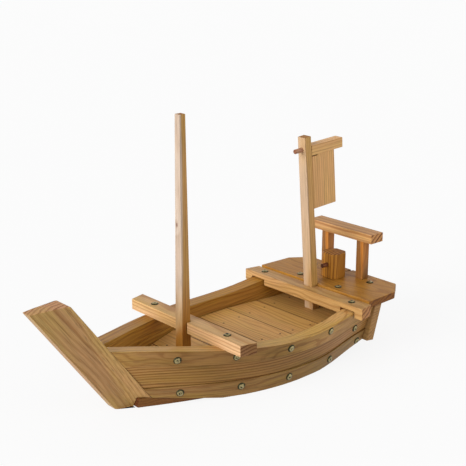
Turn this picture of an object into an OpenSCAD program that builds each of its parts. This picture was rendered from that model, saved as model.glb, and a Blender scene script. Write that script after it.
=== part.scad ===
// Wooden sushi boat: a small planked serving boat with a raked stem, a well with a
// plank floor, two thwarts, a mast, a stern deck with a low rail and a signal flag.
// The bow points to -X, the port side is -Y, and Z = 0 is the table.

/* [Boat] */
// Overall length, from the top of the stem to the end of the stern deck
boat_length = 500; // [490:1:512]
// Overall width, across the ends of the thwarts
boat_width = 210; // [206:1:216]
// Height of the top of the mast over the table
mast_height = 320; // [290:1:340]

/* [Hull] */
// Width of the hull across its rails at the widest place
hull_beam = 193; // [188:0.5:196]
// Height of the rail over the table at its lowest place
hull_depth = 54.6; // [53:0.1:56]
// Thickness of the side planks, across the boat
side_t = 20; // [15:0.5:21]
// Thickness of the bottom board
board_t = 12; // [9:0.5:13]
// How deep the middle plank of a side lies behind the other two
plank_recess = 1.5; // [0.5:0.1:3]
// How far the lowest plank laps over the edge of the bottom board
board_lap = 8; // [5:0.5:10]
// Height of the bottom over the table at the transom
rocker_rise = 13.5; // [8:0.5:15]
// Length of the bottom that rises towards the stern
rocker_length = 90; // [80:1:100]

/* [Stem] */
// Height of the level top of the stem
stem_height = 138.6; // [125:0.1:150]
// Length of the top of the stem, along the boat
stem_top_length = 46; // [40:0.5:50]
// How far the top of the stem's front edge stands ahead of its foot
stem_front_rake = 101.9; // [92:0.1:106]
// How far the top of the stem's back face stands ahead of its foot
stem_back_rake = 97.7; // [94:0.1:101]
// Width of the stem's front face
stem_front_w = 14; // [10:0.5:17]
// Width of the stem where its narrow nose meets the broad back
stem_nose_w = 22; // [20:0.5:24]
// Width of the back of the stem at its top
stem_top_w = 28; // [26:0.5:32]
// Length of the nose at the top of the stem
stem_top_nose = 39; // [34:0.5:41]
// Length of the nose at the foot of the stem
stem_foot_nose = 18; // [14:0.5:20]
// Length of the stem's heel ahead of the bottom board
stem_heel = 21; // [16:0.5:22]

/* [Thwarts] */
// Distance of the mast thwart from the bow end
mast_thwart_place = 206; // [200:1:215]
// Width of the mast thwart, along the boat
mast_thwart_w = 20.4; // [18:0.1:24]
// Thickness of the mast thwart
mast_thwart_t = 13.5; // [10:0.5:16]
// How much further the mast thwart's ends reach at its back edge
mast_thwart_taper = 5.3; // [2:0.1:7]
// Width of the stern thwart, along the boat
stern_thwart_w = 21.2; // [19:0.1:25]
// Thickness of the stern thwart
stern_thwart_t = 14.9; // [12:0.1:17]
// How much further the stern thwart's ends reach at its front edge
stern_thwart_taper = 4.3; // [2:0.1:7]
// How far the top of the stern thwart stands over the rail
stern_thwart_stand = 7; // [4:0.1:8]

/* [Stern] */
// Height of the top of the stern deck over the table
deck_height = 72.5; // [71:0.1:75]
// Thickness of the stern deck
deck_t = 9; // [7:0.1:10]
// Length of the stern deck, along the boat
deck_length = 76.2; // [74:0.1:80]
// Width of the deck at its front edge
deck_front_w = 194; // [188:1:200]
// Width of the deck where its back corners are cut off
deck_mid_w = 190; // [180:1:196]
// Width of the deck's back edge
deck_back_w = 152; // [120:1:160]
// Length of the cut-off back corners, along the boat
deck_corner = 25.5; // [15:0.5:35]
// Gap between the stern thwart and the deck
deck_gap = 1; // [0.5:0.1:2]
// Width of the rudder slot in the deck
slot_w = 2.5; // [1.5:0.1:4]
// Length of the rudder slot
slot_length = 12; // [8:1:18]
// Distance from the transom's front face, at its top, to the stern end
transom_place = 58; // [54:0.5:60]
// Thickness of the transom
transom_t = 12; // [8:0.5:14]
// How far the transom's front face leans aft over its height
transom_rake = 6.5; // [2:0.1:9]
// How far the transom stands out beyond the hull's sides at its foot
transom_foot_lip = 8; // [4:0.5:10]
// How far the transom stands out beyond the hull's sides at its top
transom_top_lip = 3; // [1:0.5:5]

/* [Canopy rail and bitt] */
// Length of the rail, across the boat
canopy_length = 109; // [95:1:120]
// Width of the rail, along the boat
canopy_w = 22.7; // [18:0.1:26]
// Thickness of the rail
canopy_t = 12.1; // [9:0.1:15]
// Height of the rail's top over the table
canopy_height = 138.1; // [125:0.1:150]
// Distance from the rail's back edge to the stern end
canopy_place = 4.2; // [2:0.1:8]
// Width of the two square rail posts
canopy_post_w = 11.8; // [9:0.1:15]
// Distance between the middles of the two rail posts
canopy_post_gap = 61.5; // [46:0.5:75]
// Length of the bitt block, along the boat
bitt_length = 27; // [20:0.5:28]
// Width of the bitt block
bitt_w = 28; // [20:0.5:29]
// Height of the bitt block's top over the table
bitt_height = 106; // [98:1:115]
// Chamfer of the bitt block's four upright edges
bitt_chamfer = 6.5; // [3:0.5:8]
// Distance from the middle of the bitt block to the stern end
bitt_place = 36.5; // [35:0.5:40]
// Diameter of the bitt's peg
bitt_peg_d = 5.6; // [4:0.1:8]
// Length of the bitt's peg that stands out of the block
bitt_peg_out = 9; // [6:0.5:15]
// Height of the bitt's peg over the table
bitt_peg_height = 91; // [85:1:96]

/* [Floor] */
// Height of the top of the floor over the table
floor_height = 38; // [36:0.5:41]
// Thickness of the floor planks
floor_t = 6; // [4:0.5:7]
// Gap between two floor planks
plank_gap = 0.6; // [0.3:0.1:1.2]
// Thickness of the two bearers under the floor
bearer_t = 8; // [6:0.5:10]

/* [Mast] */
// Width of the square mast at its foot
mast_foot_w = 13.4; // [11:0.1:14]
// Width of the square mast at its top
mast_top_w = 8.4; // [6:0.1:10]

/* [Flag] */
// Height of the top of the flag post over the table
flag_post_height = 268.1; // [250:0.1:285]
// Lean of the flag post towards the bow, in degrees
flag_post_lean = 5.15; // [4:0.05:5.5]
// Width of the flag post's foot, across the boat
flag_post_foot_w = 14.8; // [12:0.1:16]
// Width of the flag post's top, across the boat
flag_post_top_w = 12.2; // [10:0.1:14]
// Depth of the flag post's foot, along the boat
flag_post_foot_d = 11.5; // [10:0.1:13]
// Depth of the flag post's top, along the boat
flag_post_top_d = 10.9; // [9:0.1:12]
// Distance of the flag's peg below the top of the flag post
flag_peg_drop = 16.1; // [12:0.1:30]
// Diameter of the flag's peg
flag_peg_d = 5.8; // [4.5:0.1:7]
// Length of the flag's peg that stands out ahead of the post
flag_peg_out = 12; // [8:0.5:16]
// Upward tilt of the flag's bar, in degrees
flag_tilt = 3.5; // [2:0.1:4]
// Length of the flag's bar
flag_bar_length = 56; // [50:0.5:62]
// Width of the flag's bar
flag_bar_w = 12.7; // [10:0.1:15]
// Height of the flag's bar
flag_bar_h = 13; // [11:0.1:15]
// How far the middle of the flag's bar lies below its peg's axis
flag_bar_drop = 2.5; // [0:0.1:3]
// Length of the flag board, along the bar
flag_board_length = 40; // [34:0.5:46]
// Height of the flag board
flag_board_h = 70; // [55:0.5:75]
// Thickness of the flag board
flag_board_t = 11; // [8:0.1:12]

/* [Tacks and nails] */
// Diameter of the domed tack heads
tack_d = 9.4; // [8:0.1:10]
// Height of the domed tack heads
tack_rise = 2.2; // [1.5:0.1:3]
// Diameter of the tack shanks
tack_shank_d = 2.4; // [1.5:0.1:3]
// Diameter of the floor nails' heads
nail_d = 2.6; // [2:0.1:4]
// Height of the floor nails' heads
nail_rise = 0.5; // [0.3:0.1:1]

/* [Fits] */
// Gap round a piece that lifts out of its hole or notch
lift_gap = 0.3; // [0.2:0.05:0.5]
// Clearance on the radius of the flag's peg, where it turns in the post
turn_gap = 0.08; // [0.03:0.01:0.1]
// Gap between glued pieces
glue_gap = 0.2; // [0.1:0.05:0.3]
// Clearance on the radius of a shank or peg that stays in its hole
shank_gap = 0.1; // [0.05:0.05:0.2]

/* [Hidden] */
$fn = 48;

// Colours of the woods and metals
pine = "#d9a566";
pine_dark = "#b97d45";
peg_wood = "#5b2a1c";
brass = "#8f7b45";
steel = "#8d8d88";

// One overrun for all cuts
over = 1;
// Stations along a plank of the hull, and the levels of the stem
hull_steps = 24;
stem_low_steps = 6;
stem_high_steps = 3;

// Ends of the boat
bow_x = -boat_length / 2;
stern_x = boat_length / 2;
half_beam = hull_beam / 2;

// The stem's back plane: its place at the table and its slope
stem_foot_x = bow_x + stem_top_length + stem_back_rake;
stem_slope = stem_back_rake / stem_height;
function stem_x(h) = stem_foot_x - stem_slope * h;

// The transom's front plane
deck_under = deck_height - deck_t;
transom_top_x = stern_x - transom_place;
transom_slope = transom_rake / (deck_under - rocker_rise);
transom_foot_x = transom_top_x - transom_rake;
function transom_x(h) = transom_foot_x + transom_slope * (h - rocker_rise);

// Lines of the hull, as shares of the half beam and of the depth at ten even
// stations. The first one lies just ahead of the planks and the last behind them.
table_fore_inset = 86;
table_aft_inset = 54;
table_fore_x = bow_x + table_fore_inset;
table_aft_x = stern_x - table_aft_inset;
rail_width_shares = [0.207, 0.392, 0.589, 0.766, 0.898, 0.976, 1, 0.982, 0.947, 0.932];
foot_width_shares = [0.062, 0.237, 0.458, 0.657, 0.807, 0.891, 0.911, 0.883, 0.828, 0.794];
rail_height_shares = [1.421, 1.335, 1.240, 1.148, 1.070, 1.015, 1, 1.037, 1.137, 1.163];
low_seam_shares = [0.34, 0.33, 0.30];
high_seam_shares = [0.73, 0.70, 0.64];
rocker_power = 1.3;
// Share of the board's thickness that shows under the lowest plank at the bow
bow_lift_share = 0.95;
// Distance behind the stem at which the lowest plank reaches the table
lift_length = 76;
// Least lap of the lowest plank over the board's edge
least_lap = 0.6;
// Least distance of a plank's inner face from the middle of the boat
least_inner = 0.4;

function clamp(v, lo, hi) = min(max(v, lo), hi);
function mix(a, b, s) = a + (b - a) * s;
// Smooth curve through the even values v, at the share s of its length
function curve(v, s) =
  let (n = len(v) - 1, u = clamp(s, 0, 1) * n, i = min(floor(u), n - 1), t = u - i)
  let (b = v[i], c = v[i + 1])
  let (a = i > 0 ? v[i - 1] : 2 * b - c, d = i < n - 1 ? v[i + 2] : 2 * c - b)
  b + t * (c - a + t * (2 * a - 5 * b + 4 * c - d + t * (3 * b - a - 3 * c + d))) / 2;
function along(x) = (x - table_fore_x) / (table_aft_x - table_fore_x);
function rail_y(x) = half_beam * curve(rail_width_shares, along(x));
function foot_y(x) = half_beam * curve(foot_width_shares, along(x));
// The rail rises freely to the stem, and stays under the deck in the aft half
function rail_h(x) =
  let (h = hull_depth * curve(rail_height_shares, along(x))) x < 0 ? h : min(h, deck_under);
rocker_x = transom_foot_x - rocker_length;
function rocker_h(x) = rocker_rise * pow(max(x - rocker_x, 0) / rocker_length, rocker_power);
// Half width of the outside of the hull at a place along it and a height
function side_y(x, h) =
  mix(foot_y(x), rail_y(x), (h - rocker_h(x)) / (rail_h(x) - rocker_h(x)));
function inner_y(x, h, inset) = max(side_y(x, h) - inset, least_inner);
// Height at a share of the side, and the two seams between the planks
function share_h(x, s) = mix(rocker_h(x), rail_h(x), s);
function low_seam(x) = curve(low_seam_shares, along(x));
function high_seam(x) = curve(high_seam_shares, along(x));
// How far the lowest plank has come down to the table: 0 at the stem, then 1
function lift_share(x) = clamp((x - stem_x(board_t)) / lift_length, 0, 1);
function lift_h(x) = board_t * bow_lift_share * (1 - lift_share(x));
function lap_w(x) = mix(least_lap, board_lap, lift_share(x));
function board_y(x, h) = side_y(x, h) - lap_w(x) - glue_gap;

// The long lines of the planks: height over the table of line k at place x
function line_h(x, k) =
  k == "keel" ? rocker_h(x)
  : k == "lip" ? rocker_h(x) + lift_h(x)
  : k == "board" ? rocker_h(x) + board_t
  : k == "low" ? share_h(x, low_seam(x))
  : k == "high" ? share_h(x, high_seam(x))
  : rail_h(x);
// Where line k meets the stem and the transom
function fore_end(k, x, n) = n == 0 ? x : fore_end(k, stem_x(line_h(x, k)), n - 1);
function aft_end(k, x, n) = n == 0 ? x : aft_end(k, transom_x(line_h(x, k)), n - 1);
end_rounds = 8;
function line_x(k, s) =
  mix(fore_end(k, stem_foot_x, end_rounds), aft_end(k, transom_foot_x, end_rounds), s);
// Point on line k at the share s of its length, set in from the outside by inset
function line_point(k, s, inset) =
  let (x = line_x(k, s), h = line_h(x, k)) [x, inner_y(x, h, inset), h];
function lap_point(k, s) =
  let (x = line_x(k, s), h = line_h(x, k)) [x, side_y(x, h) - lap_w(x), h];
function step_shares() = [for (i = [0 : hull_steps]) i / hull_steps];

// Closed skin over a row of sections with as many points each
module skin(sections) {
  m = len(sections[0]);
  n = len(sections) - 1;
  points = [for (s = sections) for (p = s) p];
  walls = [for (i = [0 : n - 1]) for (j = [0 : m - 1])
    let (k = (j + 1) % m, a = i * m + j, b = i * m + k)
    for (f = [[a, b, b + m], [a, b + m, a + m]]) f];
  fore = [for (j = [0 : m - 1]) m - 1 - j];
  aft = [for (j = [0 : m - 1]) n * m + j];
  polyhedron(points = points, faces = concat([fore], walls, [aft]));
}

// Planks of the starboard side, from the sections along them
module lower_plank() {
  skin([for (s = step_shares()) [
    line_point("lip", s, 0), lap_point("lip", s), lap_point("board", s),
    line_point("board", s, side_t), line_point("low", s, side_t), line_point("low", s, 0)
  ]]);
}
module upright_plank(low, high, recess) {
  skin([for (s = step_shares()) [
    line_point(low, s, recess), line_point(low, s, side_t),
    line_point(high, s, side_t), line_point(high, s, recess)
  ]]);
}

// Tacks: each place is its share along the hull's table and its share of the height
hull_tack_shares = [
  [0.197, 0.833], [0.375, 0.851], [0.571, 0.855], [0.755, 0.909], [0.909, 0.51],
  [0.216, 0.213], [0.401, 0.20], [0.579, 0.16], [0.776, 0.148], [0.934, 0.10]
];
hull_shank = 7;
deck_shank = 6;
// How far a thwart's tack goes into the rail
rail_bite = 5;
// Gap under the head of a hull tack, on the curved side
head_gap = 0.12;
// A short step that finds the slope of the hull's side
probe = 1;
// Turns what points along +Z into the outward direction at a place on the side
module on_side(x, h, recess) {
  slope_x = (side_y(x + probe, h) - side_y(x - probe, h)) / (2 * probe);
  slope_h = (side_y(x, h + probe) - side_y(x, h - probe)) / (2 * probe);
  size = norm([slope_x, 1, slope_h]);
  translate([x, side_y(x, h) - recess, h])
    rotate([0, 0, atan2(-slope_x, -1)])
      rotate([acos(-slope_h / size), 0, 0])
        children();
}
module at_hull_tacks() {
  for (p = hull_tack_shares) {
    x = mix(table_fore_x, table_aft_x, p[0]);
    sunk = p[1] > low_seam(x) && p[1] < high_seam(x);
    on_side(x, share_h(x, p[1]), sunk ? plank_recess : 0) children();
  }
}
module tack(shank, d = tack_d, rise = tack_rise, shank_d = tack_shank_d) {
  r = (d * d / 4 + rise * rise) / (2 * rise);
  intersection() {
    translate([0, 0, rise - r]) sphere(r = r, $fn = 64);
    cylinder(d = d + over, h = rise + over);
  }
  translate([0, 0, -shank]) cylinder(d = shank_d, h = shank + rise / 2, $fn = 24);
}
module shank_hole(shank, shank_d = tack_shank_d) {
  translate([0, 0, -shank - shank_gap])
    cylinder(d = shank_d + 2 * shank_gap, h = shank + over + shank_gap, $fn = 24);
}

// Thwarts
mast_thwart_x = bow_x + mast_thwart_place;
mast_thwart_under = rail_h(mast_thwart_x) + glue_gap / 2;
mast_thwart_top = mast_thwart_under + mast_thwart_t;
stern_thwart_back = stern_x - deck_length - deck_gap;
stern_thwart_x = stern_thwart_back - stern_thwart_w;
stern_thwart_top = rail_h(stern_thwart_back) + stern_thwart_stand;
thwart_half = boat_width / 2;
// Places of the tacks: half the distance between them, along the thwart
mast_tack_y = 66.6;
stern_tack_y = 78;
module at_pair(x, y, h) {
  for (side = [-1, 1]) translate([x, side * y, h]) children();
}
module at_mast_tacks() {
  at_pair(mast_thwart_x + mast_thwart_w / 2, mast_tack_y, mast_thwart_top) children();
}
module at_stern_tacks() {
  at_pair(stern_thwart_x + stern_thwart_w / 2, stern_tack_y, stern_thwart_top) children();
}
// Tacks of the deck: distance from the stern end, and from the middle
deck_tack_places = [[64.5, 34], [21.5, 50]];
module at_deck_tacks() {
  for (p = deck_tack_places) at_pair(stern_x - p[0], p[1], deck_height) children();
}

// Mast: it stands against the bow edge of its thwart, half in a notch
mast_stand = 0.3;
mast_x = mast_thwart_x + mast_stand;
mast_hole_w = mast_foot_w + 2 * lift_gap;
module mast_room() {
  translate([mast_x - mast_hole_w / 2, -mast_hole_w / 2, 0])
    cube([mast_hole_w, mast_hole_w, mast_thwart_top + over]);
}
function square_ring(w, d, h) = [
  [-d / 2, -w / 2, h], [d / 2, -w / 2, h], [d / 2, w / 2, h], [-d / 2, w / 2, h]
];
module tapered_bar(foot_w, foot_d, top_w, top_d, low, high) {
  rings = [square_ring(foot_w, foot_d, low), square_ring(top_w, top_d, high)];
  polyhedron(
    points = concat(rings[0], rings[1]),
    faces = [[0, 1, 2, 3], [7, 6, 5, 4], [0, 4, 5, 1], [1, 5, 6, 2], [2, 6, 7, 3], [3, 7, 4, 0]]
  );
}

// Flag post: it leans to the bow and stands in a notch between thwart and deck.
// Its frame has its origin on the post's axis at the height of the thwart's top.
post_setback = 2.3;
post_x = stern_thwart_back - post_setback;
module post_frame() {
  translate([post_x, 0, stern_thwart_top]) rotate([0, -flag_post_lean, 0]) children();
}
function post_s(h) = (h - stern_thwart_top) / cos(flag_post_lean);
post_foot_aft_x = post_x + (stern_thwart_top - board_t) * tan(flag_post_lean) + flag_post_foot_d / 2;
post_foot_h = rocker_h(post_foot_aft_x) + board_t + glue_gap;
post_foot_s = post_s(post_foot_h);
post_top_s = post_s(flag_post_height);
post_hole_w = flag_post_foot_w + 2 * lift_gap;
post_hole_d = flag_post_foot_d + 2 * lift_gap;
module post_room() {
  post_frame()
    translate([-post_hole_d / 2, -post_hole_w / 2, post_foot_s - lift_gap])
      cube([post_hole_d, post_hole_w, deck_height - post_foot_h + over]);
}

// Flag: its frame has its origin where the peg's axis meets the post's axis, and
// its X axis runs aft along the peg and the bar
flag_peg_height = flag_post_height - flag_peg_drop;
flag_x = post_x - (flag_peg_height - stern_thwart_top) * tan(flag_post_lean);
flag_turn = flag_post_lean - flag_tilt;
post_half_d = flag_post_top_d / 2 + (flag_post_foot_d - flag_post_top_d) / 2
  * (post_top_s - post_s(flag_peg_height)) / (post_top_s - post_foot_s);
bar_x = post_half_d + lift_gap + (flag_bar_h / 2 + flag_bar_drop) * sin(flag_turn);
board_x = bar_x + 2 * lift_gap;
// Depth of the peg's blind hole in the bar
peg_in_bar = 20;
// The small gap between the bar and the fore end of the board's top edge
board_step_length = 10;
board_step_h = 1.3;
module flag_frame() {
  translate([flag_x, 0, flag_peg_height]) rotate([0, -flag_tilt, 0]) children();
}
module along_flag(from, to, r) {
  translate([from, 0, 0]) rotate([0, 90, 0]) cylinder(r = r, h = to - from);
}

// Floor: planks across the boat on two splayed bearers. The joints divide its length.
floor_under = floor_height - floor_t;
floor_fore_x = stem_x(floor_under) + plank_gap;
floor_aft_x = transom_x(floor_under) - plank_gap;
plank_count = 7;
first_plank_share = 0.0722;
plank_share = 0.1537;
function joint_x(i) =
  i == 0 ? floor_fore_x
  : i == plank_count ? floor_aft_x
  : mix(floor_fore_x, floor_aft_x, first_plank_share + (i - 1) * plank_share);
// Places of the bearers' middles at their two ends, across and along the boat
bearer_fore_y = 25.5;
bearer_aft_y = 46.5;
bearer_fore_inset = 184;
bearer_gap = 0.2;
bearer_fore_x = bow_x + bearer_fore_inset;
bearer_slope = (bearer_aft_y - bearer_fore_y) / (floor_aft_x - bearer_fore_x);
bearer_splay = atan(bearer_slope);
function bearer_y(x) = bearer_fore_y + (x - bearer_fore_x) * bearer_slope;
nail_inset = 10;
nail_shank_d = 1.2;
nail_bite = 8;
first_nailed_plank = 3;
module at_nails() {
  for (i = [first_nailed_plank : plank_count]) {
    places = [joint_x(i - 1) + nail_inset, joint_x(i) - nail_inset];
    for (x = places) at_pair(x, bearer_y(x), floor_height) children();
  }
}
module nail_hole() {
  shank_hole(floor_t + nail_bite, nail_shank_d);
}
module floor_plank(i) {
  x0 = joint_x(i - 1) + plank_gap / 2;
  x1 = joint_x(i) - plank_gap / 2;
  y0 = inner_y(x0, floor_under, side_t) - plank_gap;
  y1 = inner_y(x1, floor_under, side_t) - plank_gap;
  color(pine) difference() {
    translate([0, 0, floor_under]) linear_extrude(height = floor_t)
      polygon([[x0, -y0], [x1, -y1], [x1, y1], [x0, y0]]);
    if (mast_x + mast_hole_w > x0 && mast_x - mast_hole_w < x1) mast_room();
    if (post_x + post_hole_d > x0 && post_x - post_hole_d < x1) post_room();
    if (i >= first_nailed_plank) {
      for (x = [joint_x(i - 1) + nail_inset, joint_x(i) - nail_inset])
        at_pair(x, bearer_y(x), floor_height) nail_hole();
    }
  }
}
module floor_bearer() {
  aft_x = floor_aft_x - bearer_t / 2;
  n = hull_steps;
  low = [for (i = [0 : n]) let (x = mix(bearer_fore_x, aft_x, i / n))
    [(x - bearer_fore_x) / cos(bearer_splay), rocker_h(x) + board_t + bearer_gap]];
  high = [for (i = [n, 0]) [low[i][0], floor_under]];
  difference() {
    translate([bearer_fore_x, bearer_y(bearer_fore_x) + bearer_t / 2, 0])
      rotate([0, 0, bearer_splay]) rotate([90, 0, 0])
        linear_extrude(height = bearer_t) polygon(concat(low, high));
    at_nails() nail_hole();
  }
}

module stem_post() {
  join_x = fore_end("rail", stem_foot_x, end_rounds);
  join_h = rail_h(join_x);
  join_y = side_y(join_x, join_h);
  low = [for (i = [0 : stem_low_steps]) join_h * i / stem_low_steps];
  high = [for (i = [1 : stem_high_steps]) mix(join_h, stem_height, i / stem_high_steps)];
  rings = [for (h = concat(low, high))
    let (s = h / stem_height, back = stem_x(h))
    let (front = bow_x + stem_front_rake * (1 - s))
    let (nose = front + mix(stem_foot_nose, stem_top_nose, s))
    let (y = h <= join_h ? side_y(back, h)
      : mix(join_y, stem_top_w / 2, (h - join_h) / (stem_height - join_h)))
    [[front, -stem_front_w / 2, h], [nose, -stem_nose_w / 2, h], [back, -y, h],
     [back, y, h], [nose, stem_nose_w / 2, h], [front, stem_front_w / 2, h]]];
  notch_x = bow_x + stem_front_rake + stem_heel - glue_gap;
  color(pine_dark) difference() {
    skin([for (r = rings) [for (j = [len(r) - 1 : -1 : 0]) r[j]]]);
    translate([notch_x, -half_beam, -over]) cube([boat_length, hull_beam, board_t + over]);
  }
}

module bottom_board() {
  fore_x = bow_x + stem_front_rake + stem_heel;
  first = let (y0 = board_y(fore_x, 0), y1 = board_y(fore_x, board_t))
    [[fore_x, -y0, 0], [fore_x, y0, 0], [fore_x, y1, board_t], [fore_x, -y1, board_t]];
  rest = [for (s = step_shares())
    let (xa = line_x("keel", s), xb = line_x("board", s))
    let (ha = rocker_h(xa), hb = rocker_h(xb) + board_t)
    let (ya = board_y(xa, ha), yb = board_y(xb, hb))
    [[xa, -ya, ha], [xa, ya, ha], [xb, yb, hb], [xb, -yb, hb]]];
  color(pine_dark) skin(concat([first], rest));
}

module port() {
  mirror([0, 1, 0]) children();
}
module lower_strake() {
  color(pine) difference() {
    lower_plank();
    at_hull_tacks() shank_hole(hull_shank);
  }
}
module middle_strake() {
  color(pine_dark) difference() {
    upright_plank("low", "high", plank_recess);
    at_hull_tacks() shank_hole(hull_shank);
  }
}
module upper_strake() {
  color(pine) difference() {
    upright_plank("high", "rail", 0);
    at_hull_tacks() shank_hole(hull_shank);
    at_mast_tacks() shank_hole(mast_thwart_t + rail_bite);
    at_stern_tacks() shank_hole(stern_thwart_stand + rail_bite);
  }
}
module port_lower_strake() { port() lower_strake(); }
module port_middle_strake() { port() middle_strake(); }
module port_upper_strake() { port() upper_strake(); }
module starboard_lower_strake() { lower_strake(); }
module starboard_middle_strake() { middle_strake(); }
module starboard_upper_strake() { upper_strake(); }

module floor_plank_1() { floor_plank(1); }
module floor_plank_2() { floor_plank(2); }
module floor_plank_3() { floor_plank(3); }
module floor_plank_4() { floor_plank(4); }
module floor_plank_5() { floor_plank(5); }
module floor_plank_6() { floor_plank(6); }
module floor_plank_7() { floor_plank(7); }
module floor_bearer_starboard() { color(pine_dark) floor_bearer(); }
module floor_bearer_port() { color(pine_dark) port() floor_bearer(); }

module transom() {
  lean = atan(transom_slope);
  height = (deck_under - rocker_rise) / cos(lean);
  foot = foot_y(transom_foot_x) + transom_foot_lip;
  top = rail_y(transom_foot_x) + transom_top_lip;
  color(pine) intersection() {
    translate([transom_foot_x + glue_gap / 2, 0, rocker_rise]) rotate([0, lean, 0])
      rotate([90, 0, 90]) linear_extrude(height = transom_t)
        polygon([[-foot, 0], [foot, 0], [top, height + transom_t], [-top, height + transom_t]]);
    translate([0, -boat_width / 2, 0]) cube([stern_x, boat_width, deck_under]);
  }
}

module stern_deck() {
  front = stern_x - deck_length;
  color(pine) difference() {
    translate([0, 0, deck_under]) linear_extrude(height = deck_t) polygon([
      [front, -deck_front_w / 2], [stern_x - deck_corner, -deck_mid_w / 2],
      [stern_x, -deck_back_w / 2], [stern_x, deck_back_w / 2],
      [stern_x - deck_corner, deck_mid_w / 2], [front, deck_front_w / 2]
    ]);
    translate([stern_x - slot_length, -slot_w / 2, deck_under - over])
      cube([slot_length + over, slot_w, deck_t + 2 * over]);
    post_room();
    at_deck_tacks() shank_hole(deck_shank);
  }
}

module mast_thwart() {
  x0 = mast_thwart_x;
  x1 = x0 + mast_thwart_w;
  y0 = thwart_half - mast_thwart_taper;
  color(pine) difference() {
    translate([0, 0, mast_thwart_under]) linear_extrude(height = mast_thwart_t)
      polygon([[x0, -y0], [x1, -thwart_half], [x1, thwart_half], [x0, y0]]);
    mast_room();
    at_mast_tacks() shank_hole(mast_thwart_t + rail_bite);
  }
}

module stern_thwart() {
  x0 = stern_thwart_x;
  x1 = stern_thwart_back;
  y1 = thwart_half - stern_thwart_taper;
  under = stern_thwart_top - stern_thwart_t;
  seat = rail_h(x1) + glue_gap / 2;
  // The notch over a rail: clear of its outer face and of its inner face
  rail_out = max(rail_y(x0), rail_y(x1)) + glue_gap;
  rail_in = min(side_y(x0, under), side_y(x1, under)) - side_t - glue_gap;
  color(pine) difference() {
    translate([0, 0, under]) linear_extrude(height = stern_thwart_t)
      polygon([[x0, -thwart_half], [x1, -y1], [x1, y1], [x0, thwart_half]]);
    for (side = [0, 1]) mirror([0, side, 0])
      translate([x0 - over, rail_in, under - over])
        cube([stern_thwart_w + 2 * over, rail_out - rail_in, seat - under + over]);
    post_room();
    at_stern_tacks() shank_hole(stern_thwart_stand + rail_bite);
  }
}

canopy_x = stern_x - canopy_place - canopy_w / 2;
canopy_under = canopy_height - canopy_t;
module canopy_rail() {
  color(pine) translate([canopy_x - canopy_w / 2, -canopy_length / 2, canopy_under])
    cube([canopy_w, canopy_length, canopy_t]);
}
module canopy_post() {
  translate([canopy_x - canopy_post_w / 2, (canopy_post_gap - canopy_post_w) / 2, deck_height])
    cube([canopy_post_w, canopy_post_w, canopy_under - deck_height]);
}
module canopy_post_port() { color(pine) port() canopy_post(); }
module canopy_post_starboard() { color(pine) canopy_post(); }

bitt_x = stern_x - bitt_place;
bitt_peg_in = 10;
module bitt_peg_bar(gap) {
  translate([bitt_x - bitt_length / 2 - bitt_peg_out, 0, bitt_peg_height]) rotate([0, 90, 0])
    cylinder(d = bitt_peg_d + 2 * gap, h = bitt_peg_out + bitt_peg_in + gap);
}
module bitt_block() {
  a = bitt_length / 2;
  b = bitt_w / 2;
  c = bitt_chamfer;
  color(pine_dark) difference() {
    translate([bitt_x, 0, deck_height]) linear_extrude(height = bitt_height - deck_height)
      polygon([[-a, c - b], [c - a, -b], [a - c, -b], [a, c - b],
        [a, b - c], [a - c, b], [c - a, b], [-a, b - c]]);
    bitt_peg_bar(shank_gap);
  }
}
module bitt_peg() { color(peg_wood) bitt_peg_bar(0); }

module hull_tacks() {
  at_hull_tacks() translate([0, 0, head_gap]) tack(hull_shank);
}
module hull_tacks_starboard() { color(brass) hull_tacks(); }
module hull_tacks_port() { color(brass) port() hull_tacks(); }
module mast_thwart_tacks() { color(brass) at_mast_tacks() tack(mast_thwart_t + rail_bite); }
module stern_thwart_tacks() {
  color(brass) at_stern_tacks() tack(stern_thwart_stand + rail_bite);
}
module deck_tacks() { color(brass) at_deck_tacks() tack(deck_shank); }
module floor_nails() {
  color(steel) at_nails() tack(floor_t + nail_bite, nail_d, nail_rise, nail_shank_d);
}

module mast() {
  color(pine) translate([mast_x, 0, 0])
    tapered_bar(mast_foot_w, mast_foot_w, mast_top_w, mast_top_w, board_t, mast_height);
}

module flag_post() {
  color(pine) difference() {
    post_frame() tapered_bar(flag_post_foot_w, flag_post_foot_d, flag_post_top_w,
      flag_post_top_d, post_foot_s, post_top_s);
    flag_frame() along_flag(-flag_post_foot_d, flag_post_foot_d, flag_peg_d / 2 + turn_gap);
  }
}

module flag_peg() {
  color(peg_wood) flag_frame()
    along_flag(-post_half_d - flag_peg_out, bar_x + peg_in_bar, flag_peg_d / 2);
}

module flag_bar() {
  color(pine) flag_frame() difference() {
    translate([bar_x, -flag_bar_w / 2, -flag_bar_h / 2 - flag_bar_drop])
      cube([flag_bar_length, flag_bar_w, flag_bar_h]);
    along_flag(bar_x - over, bar_x + peg_in_bar + shank_gap, flag_peg_d / 2 + shank_gap);
  }
}

module flag_board() {
  // The board's upright edges run with the post, its other edges with the bar
  top = -flag_bar_h / 2 - flag_bar_drop;
  low = top - flag_board_h;
  step = top - board_step_h;
  function edge(z) = board_x - z * tan(flag_turn);
  color(pine) flag_frame() translate([0, flag_board_t / 2, 0]) rotate([90, 0, 0])
    linear_extrude(height = flag_board_t) polygon([
      [edge(low), low], [edge(low) + flag_board_length, low],
      [edge(top) + flag_board_length, top], [edge(top) + board_step_length, top],
      [edge(step) + board_step_length, step], [edge(step), step]
    ]);
}

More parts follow.
